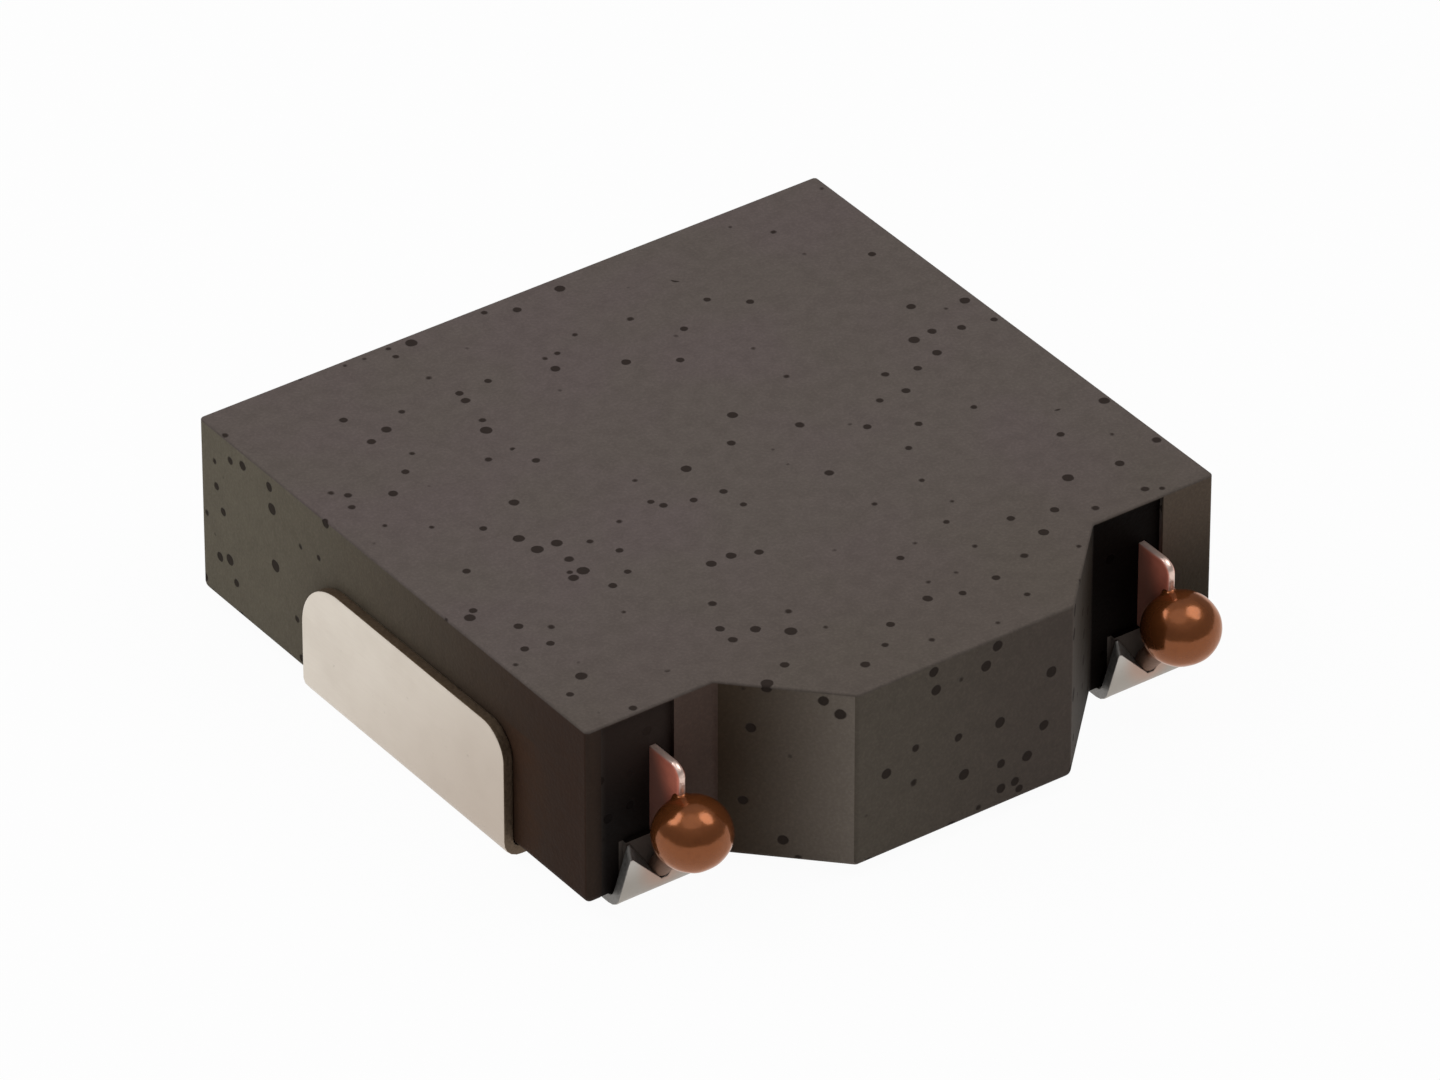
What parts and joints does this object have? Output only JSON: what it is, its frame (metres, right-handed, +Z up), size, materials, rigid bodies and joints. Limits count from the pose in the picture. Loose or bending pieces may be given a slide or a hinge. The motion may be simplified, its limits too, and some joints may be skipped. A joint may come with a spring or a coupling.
{
  "type": "shielded smd power inductor",
  "caption": "Low square shielded surface-mount inductor: pressed powder body, folded side terminals and weld beads in two front corner notches.",
  "frame": {"origin": "centre of the body's plan, on the solder plane", "axes": "+Z up through the top face; -Y towards the notched front; +X to the right terminal"},
  "size_m": [0.0068, 0.0066, 0.0019],
  "materials": {
    "powder": "pressed iron alloy powder bound with resin, matt, fine speckled grain",
    "copper_wire": "enamelled flat copper wire, bare where its ends are rolled flat",
    "tinned_sheet": "tin-plated copper sheet, satin, brown bare copper on the sheared edges",
    "weld_copper": "melted copper, smooth and glossy"
  },
  "bodies": {
    "root": {"body": "powder", "coil": "copper_wire", "terminal_left": "tinned_sheet", "terminal_right": "tinned_sheet", "weld_bead_left": "weld_copper", "weld_bead_right": "weld_copper"}
  },
  "joints": []
}
